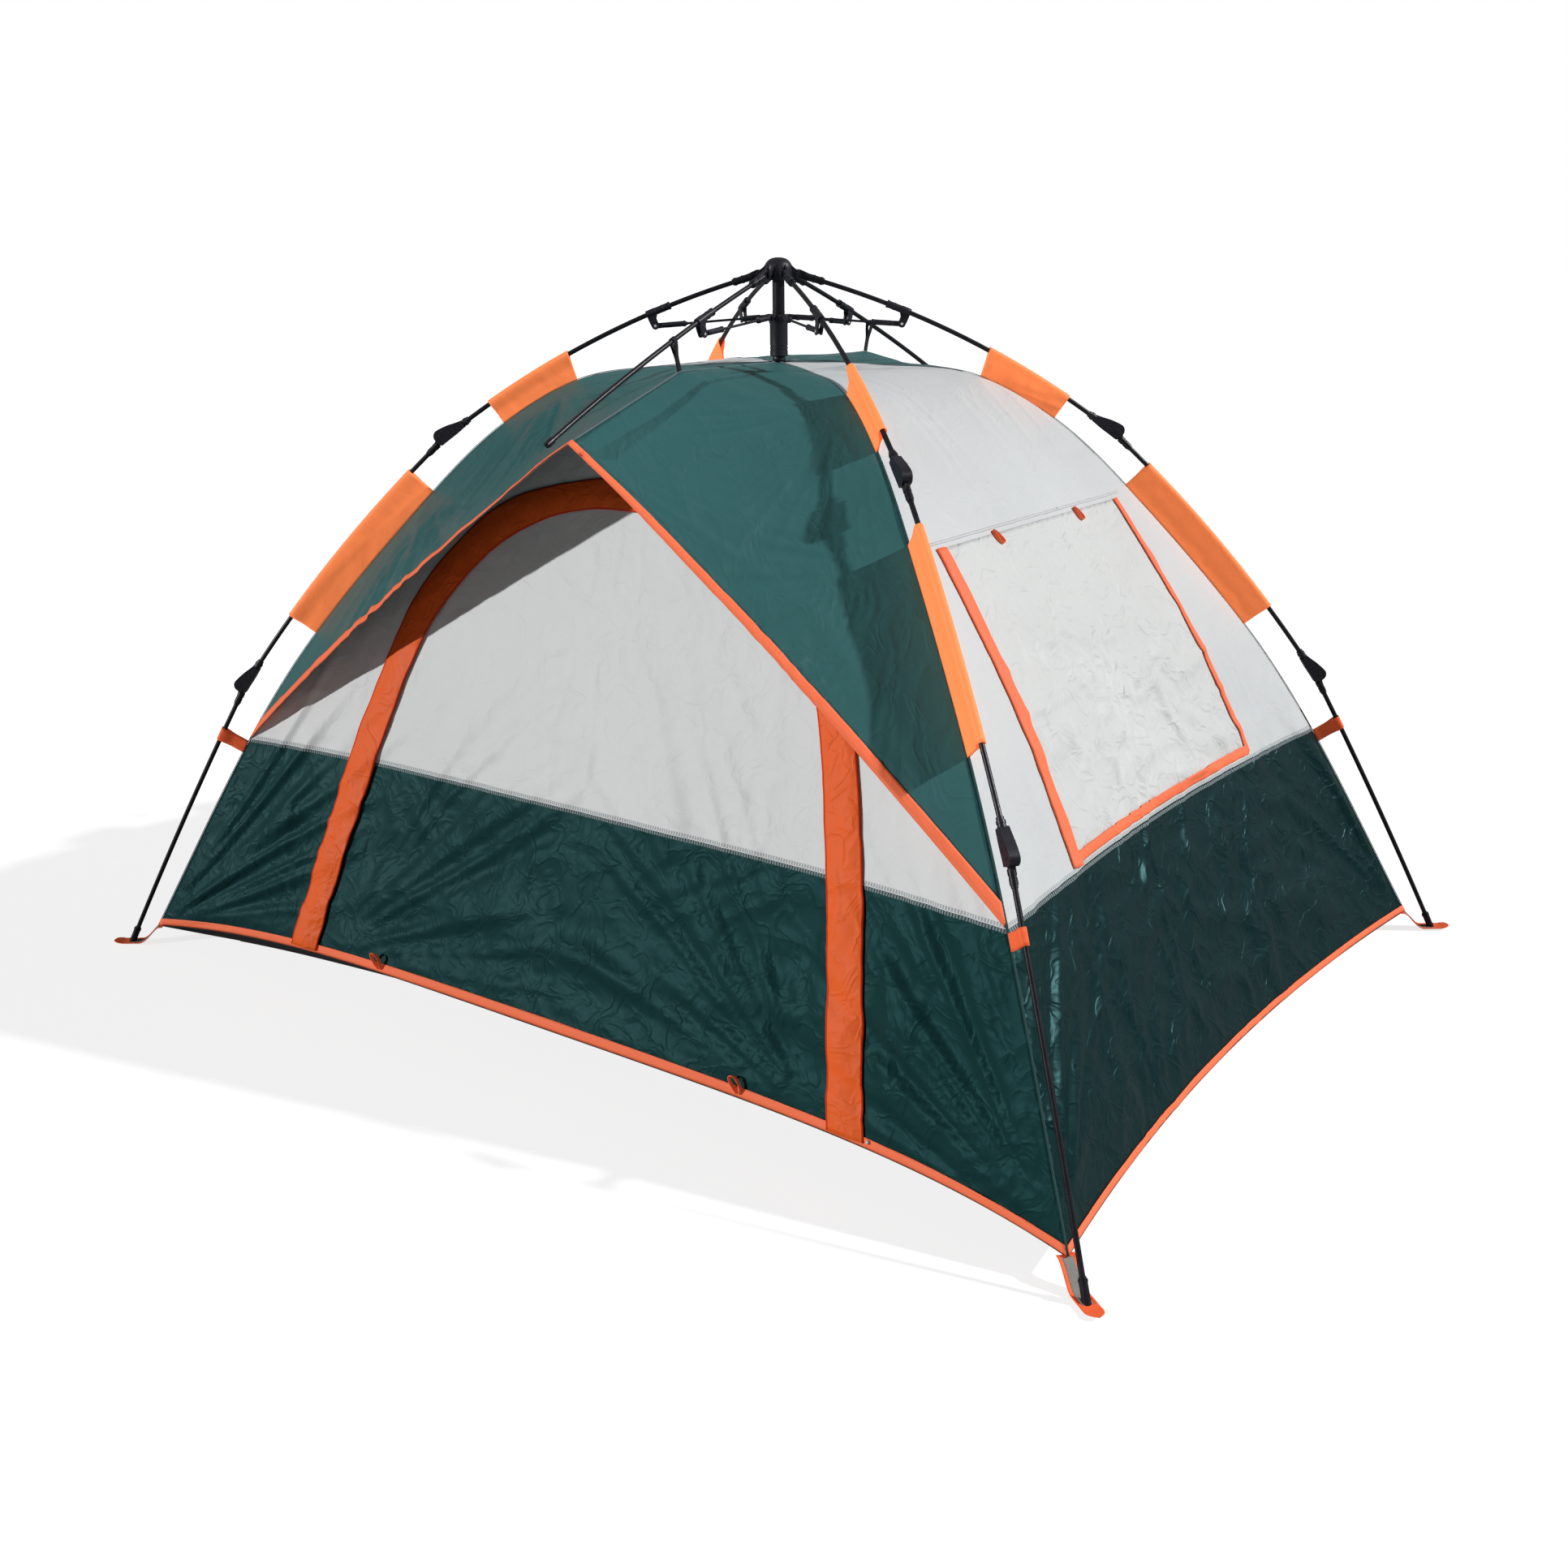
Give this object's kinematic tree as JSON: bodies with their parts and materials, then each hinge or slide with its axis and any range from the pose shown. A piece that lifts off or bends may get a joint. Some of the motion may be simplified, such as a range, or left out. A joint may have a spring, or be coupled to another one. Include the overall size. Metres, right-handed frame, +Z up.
{
  "type": "pop-up dome tent",
  "caption": "Dome tent hung under an umbrella frame of jointed black poles, with green hoods, pale walls, arched doors, side windows and orange pole sleeves.",
  "frame": {"origin": "on the ground under the hub, at the middle of the floor", "axes": "+X along the door side to its right as seen from in front, +Y from the front door to the back, +Z up"},
  "size_m": [2.0702, 1.5372, 1.241],
  "materials": {
    "green_cloth": "satin coated polyester",
    "cream_cloth": "matt polyester",
    "orange_cloth": "coated polyester",
    "black_cloth": "coated woven floor",
    "black_mesh": "fine net",
    "poles": "satin glass fibre",
    "fittings": "moulded nylon"
  },
  "bodies": {
    "shell": {"hub_cap": "fittings", "centre_post": "fittings", "post_end_plug": "fittings", "groundsheet": "black_cloth", "roof_front": "green_cloth", "wall_front": "cream_cloth", "roof_back": "green_cloth", "wall_back": "cream_cloth", "side_left": "cream_cloth", "window_screen_left": "black_mesh", "side_right": "cream_cloth", "window_screen_right": "black_mesh", "sleeve_upper_front_left": "orange_cloth", "sleeve_lower_front_left": "orange_cloth", "sleeve_upper_front_right": "orange_cloth", "sleeve_lower_front_right": "orange_cloth", "sleeve_upper_back_right": "orange_cloth", "sleeve_lower_back_right": "orange_cloth", "sleeve_upper_back_left": "orange_cloth", "sleeve_lower_back_left": "orange_cloth"},
    "runner": {"runner": "fittings"},
    "leg_front_left": {"upper_leg_front_left": "poles", "bracket_front_left": "fittings", "upper_elbow_front_left": "fittings"},
    "middle_front_left": {"middle_leg_front_left": "poles", "lower_elbow_front_left": "fittings"},
    "lower_front_left": {"lower_leg_front_left": "poles"},
    "leg_front_right": {"upper_leg_front_right": "poles", "bracket_front_right": "fittings", "upper_elbow_front_right": "fittings"},
    "middle_front_right": {"middle_leg_front_right": "poles", "lower_elbow_front_right": "fittings"},
    "lower_front_right": {"lower_leg_front_right": "poles"},
    "leg_back_right": {"upper_leg_back_right": "poles", "bracket_back_right": "fittings", "upper_elbow_back_right": "fittings"},
    "middle_back_right": {"middle_leg_back_right": "poles", "lower_elbow_back_right": "fittings"},
    "lower_back_right": {"lower_leg_back_right": "poles"},
    "leg_back_left": {"upper_leg_back_left": "poles", "bracket_back_left": "fittings", "upper_elbow_back_left": "fittings"},
    "middle_back_left": {"middle_leg_back_left": "poles", "lower_elbow_back_left": "fittings"},
    "lower_back_left": {"lower_leg_back_left": "poles"},
    "awning_front": {"awning_pole_front": "poles", "bracket_front": "fittings"},
    "awning_back": {"awning_pole_back": "poles", "bracket_back": "fittings"},
    "strut_front_left": {"strut_front_left": "fittings"},
    "strut_front_right": {"strut_front_right": "fittings"},
    "strut_back_right": {"strut_back_right": "fittings"},
    "strut_back_left": {"strut_back_left": "fittings"},
    "strut_front": {"strut_front": "fittings"},
    "strut_back": {"strut_back": "fittings"},
    "door_front": {"door_front": "cream_cloth"},
    "door_back": {"door_back": "cream_cloth"},
    "window_left": {"window_flap_left": "cream_cloth"},
    "window_right": {"window_flap_right": "cream_cloth"}
  },
  "joints": [
    {"name": "fold_leg_front_left", "type": "hinge", "parent": "shell", "child": "leg_front_left", "pos_m": [-0.02414, -0.01781, 1.214], "axis": [0.5938, -0.8046, 0], "range_deg": [0, 54], "deforming": ["roof_front", "wall_front", "roof_back", "wall_back", "side_left", "window_screen_left", "side_right", "window_screen_right", "sleeve_upper_front_left", "sleeve_lower_front_left", "sleeve_upper_front_right", "sleeve_lower_front_right", "sleeve_upper_back_right", "sleeve_lower_back_right", "sleeve_upper_back_left", "sleeve_lower_back_left", "door_front", "door_back", "window_flap_left", "window_flap_right"]},
    {"name": "upper_elbow_front_left", "type": "hinge", "parent": "leg_front_left", "child": "middle_front_left", "pos_m": [-0.47448, -0.35017, 0.94819], "axis": [-0.5938, 0.8046, 0], "range_deg": [0, 24]},
    {"name": "lower_elbow_front_left", "type": "hinge", "parent": "middle_front_left", "child": "lower_front_left", "pos_m": [-0.79019, -0.58316, 0.50647], "axis": [-0.5938, 0.8046, 0], "range_deg": [0, 183]},
    {"name": "fold_leg_front_right", "type": "hinge", "parent": "shell", "child": "leg_front_right", "pos_m": [0.02414, -0.01781, 1.214], "axis": [0.5938, 0.8046, 0], "range_deg": [0, 54]},
    {"name": "upper_elbow_front_right", "type": "hinge", "parent": "leg_front_right", "child": "middle_front_right", "pos_m": [0.47448, -0.35017, 0.94819], "axis": [-0.5938, -0.8046, 0], "range_deg": [0, 24]},
    {"name": "lower_elbow_front_right", "type": "hinge", "parent": "middle_front_right", "child": "lower_front_right", "pos_m": [0.79019, -0.58316, 0.50647], "axis": [-0.5938, -0.8046, 0], "range_deg": [0, 183]},
    {"name": "fold_leg_back_right", "type": "hinge", "parent": "shell", "child": "leg_back_right", "pos_m": [0.02414, 0.01781, 1.214], "axis": [-0.5938, 0.8046, 0], "range_deg": [0, 54]},
    {"name": "upper_elbow_back_right", "type": "hinge", "parent": "leg_back_right", "child": "middle_back_right", "pos_m": [0.47448, 0.35017, 0.94819], "axis": [0.5938, -0.8046, 0], "range_deg": [0, 24]},
    {"name": "lower_elbow_back_right", "type": "hinge", "parent": "middle_back_right", "child": "lower_back_right", "pos_m": [0.79019, 0.58316, 0.50647], "axis": [0.5938, -0.8046, 0], "range_deg": [0, 183]},
    {"name": "fold_leg_back_left", "type": "hinge", "parent": "shell", "child": "leg_back_left", "pos_m": [-0.02414, 0.01781, 1.214], "axis": [-0.5938, -0.8046, 0], "range_deg": [0, 54]},
    {"name": "upper_elbow_back_left", "type": "hinge", "parent": "leg_back_left", "child": "middle_back_left", "pos_m": [-0.47448, 0.35017, 0.94819], "axis": [0.5938, 0.8046, 0], "range_deg": [0, 24]},
    {"name": "lower_elbow_back_left", "type": "hinge", "parent": "middle_back_left", "child": "lower_back_left", "pos_m": [-0.79019, 0.58316, 0.50647], "axis": [0.5938, 0.8046, 0], "range_deg": [0, 183]},
    {"name": "fold_awning_front", "type": "hinge", "parent": "shell", "child": "awning_front", "pos_m": [0, -0.03, 1.214], "axis": [1, 0, 0], "range_deg": [0, 54]},
    {"name": "fold_awning_back", "type": "hinge", "parent": "shell", "child": "awning_back", "pos_m": [0, 0.03, 1.214], "axis": [-1, 0, 0], "range_deg": [0, 54]},
    {"name": "runner_slide", "type": "slide", "parent": "shell", "child": "runner", "axis": [0, 0, 1], "range_m": [0, 0.0555]},
    {"name": "strut_tilt_front_left", "type": "hinge", "parent": "runner", "child": "strut_front_left", "pos_m": [-0.01609, -0.01188, 1.144], "axis": [0.5938, -0.8046, 0], "range_deg": [0, 70.8]},
    {"name": "strut_tilt_front_right", "type": "hinge", "parent": "runner", "child": "strut_front_right", "pos_m": [0.01609, -0.01188, 1.144], "axis": [0.5938, 0.8046, 0], "range_deg": [0, 70.8]},
    {"name": "strut_tilt_back_right", "type": "hinge", "parent": "runner", "child": "strut_back_right", "pos_m": [0.01609, 0.01188, 1.144], "axis": [-0.5938, 0.8046, 0], "range_deg": [0, 70.8]},
    {"name": "strut_tilt_back_left", "type": "hinge", "parent": "runner", "child": "strut_back_left", "pos_m": [-0.01609, 0.01188, 1.144], "axis": [-0.5938, -0.8046, 0], "range_deg": [0, 70.8]},
    {"name": "strut_tilt_front", "type": "hinge", "parent": "runner", "child": "strut_front", "pos_m": [0, -0.02, 1.144], "axis": [1, 0, 0], "range_deg": [0, 70.8]},
    {"name": "strut_tilt_back", "type": "hinge", "parent": "runner", "child": "strut_back", "pos_m": [0, 0.02, 1.144], "axis": [-1, 0, 0], "range_deg": [0, 70.8]},
    {"name": "door_front_open", "type": "hinge", "parent": "shell", "child": "door_front", "pos_m": [0, -0.6514, 0.08555], "axis": [1, 0, 0], "range_deg": [0, 112]},
    {"name": "door_back_open", "type": "hinge", "parent": "shell", "child": "door_back", "pos_m": [0, 0.6514, 0.08555], "axis": [-1, 0, 0], "range_deg": [0, 112]},
    {"name": "window_right_open", "type": "hinge", "parent": "shell", "child": "window_right", "pos_m": [0.50126, 0, 0.83845], "axis": [0, -1, 0], "range_deg": [0, 100]},
    {"name": "window_left_open", "type": "hinge", "parent": "shell", "child": "window_left", "pos_m": [-0.50126, 0, 0.83845], "axis": [0, 1, 0], "range_deg": [0, 100]}
  ],
  "couplings": [
    {"joint": "upper_elbow_front_left", "follows": "fold_leg_front_left", "ratio": 0.4444},
    {"joint": "lower_elbow_front_left", "follows": "fold_leg_front_left", "ratio": 3.3888},
    {"joint": "fold_leg_front_right", "follows": "fold_leg_front_left", "ratio": 1},
    {"joint": "upper_elbow_front_right", "follows": "fold_leg_front_left", "ratio": 0.4444},
    {"joint": "lower_elbow_front_right", "follows": "fold_leg_front_left", "ratio": 3.3888},
    {"joint": "fold_leg_back_right", "follows": "fold_leg_front_left", "ratio": 1},
    {"joint": "upper_elbow_back_right", "follows": "fold_leg_front_left", "ratio": 0.4444},
    {"joint": "lower_elbow_back_right", "follows": "fold_leg_front_left", "ratio": 3.3888},
    {"joint": "fold_leg_back_left", "follows": "fold_leg_front_left", "ratio": 1},
    {"joint": "upper_elbow_back_left", "follows": "fold_leg_front_left", "ratio": 0.4444},
    {"joint": "lower_elbow_back_left", "follows": "fold_leg_front_left", "ratio": 3.3888},
    {"joint": "fold_awning_front", "follows": "fold_leg_front_left", "ratio": 1},
    {"joint": "fold_awning_back", "follows": "fold_leg_front_left", "ratio": 1},
    {"joint": "runner_slide", "follows": "fold_leg_front_left", "m_per_rad": 0.05888},
    {"joint": "strut_tilt_front_left", "follows": "fold_leg_front_left", "ratio": 1.3111},
    {"joint": "strut_tilt_front_right", "follows": "fold_leg_front_left", "ratio": 1.3111},
    {"joint": "strut_tilt_back_right", "follows": "fold_leg_front_left", "ratio": 1.3111},
    {"joint": "strut_tilt_back_left", "follows": "fold_leg_front_left", "ratio": 1.3111},
    {"joint": "strut_tilt_front", "follows": "fold_leg_front_left", "ratio": 1.3111},
    {"joint": "strut_tilt_back", "follows": "fold_leg_front_left", "ratio": 1.3111}
  ]
}
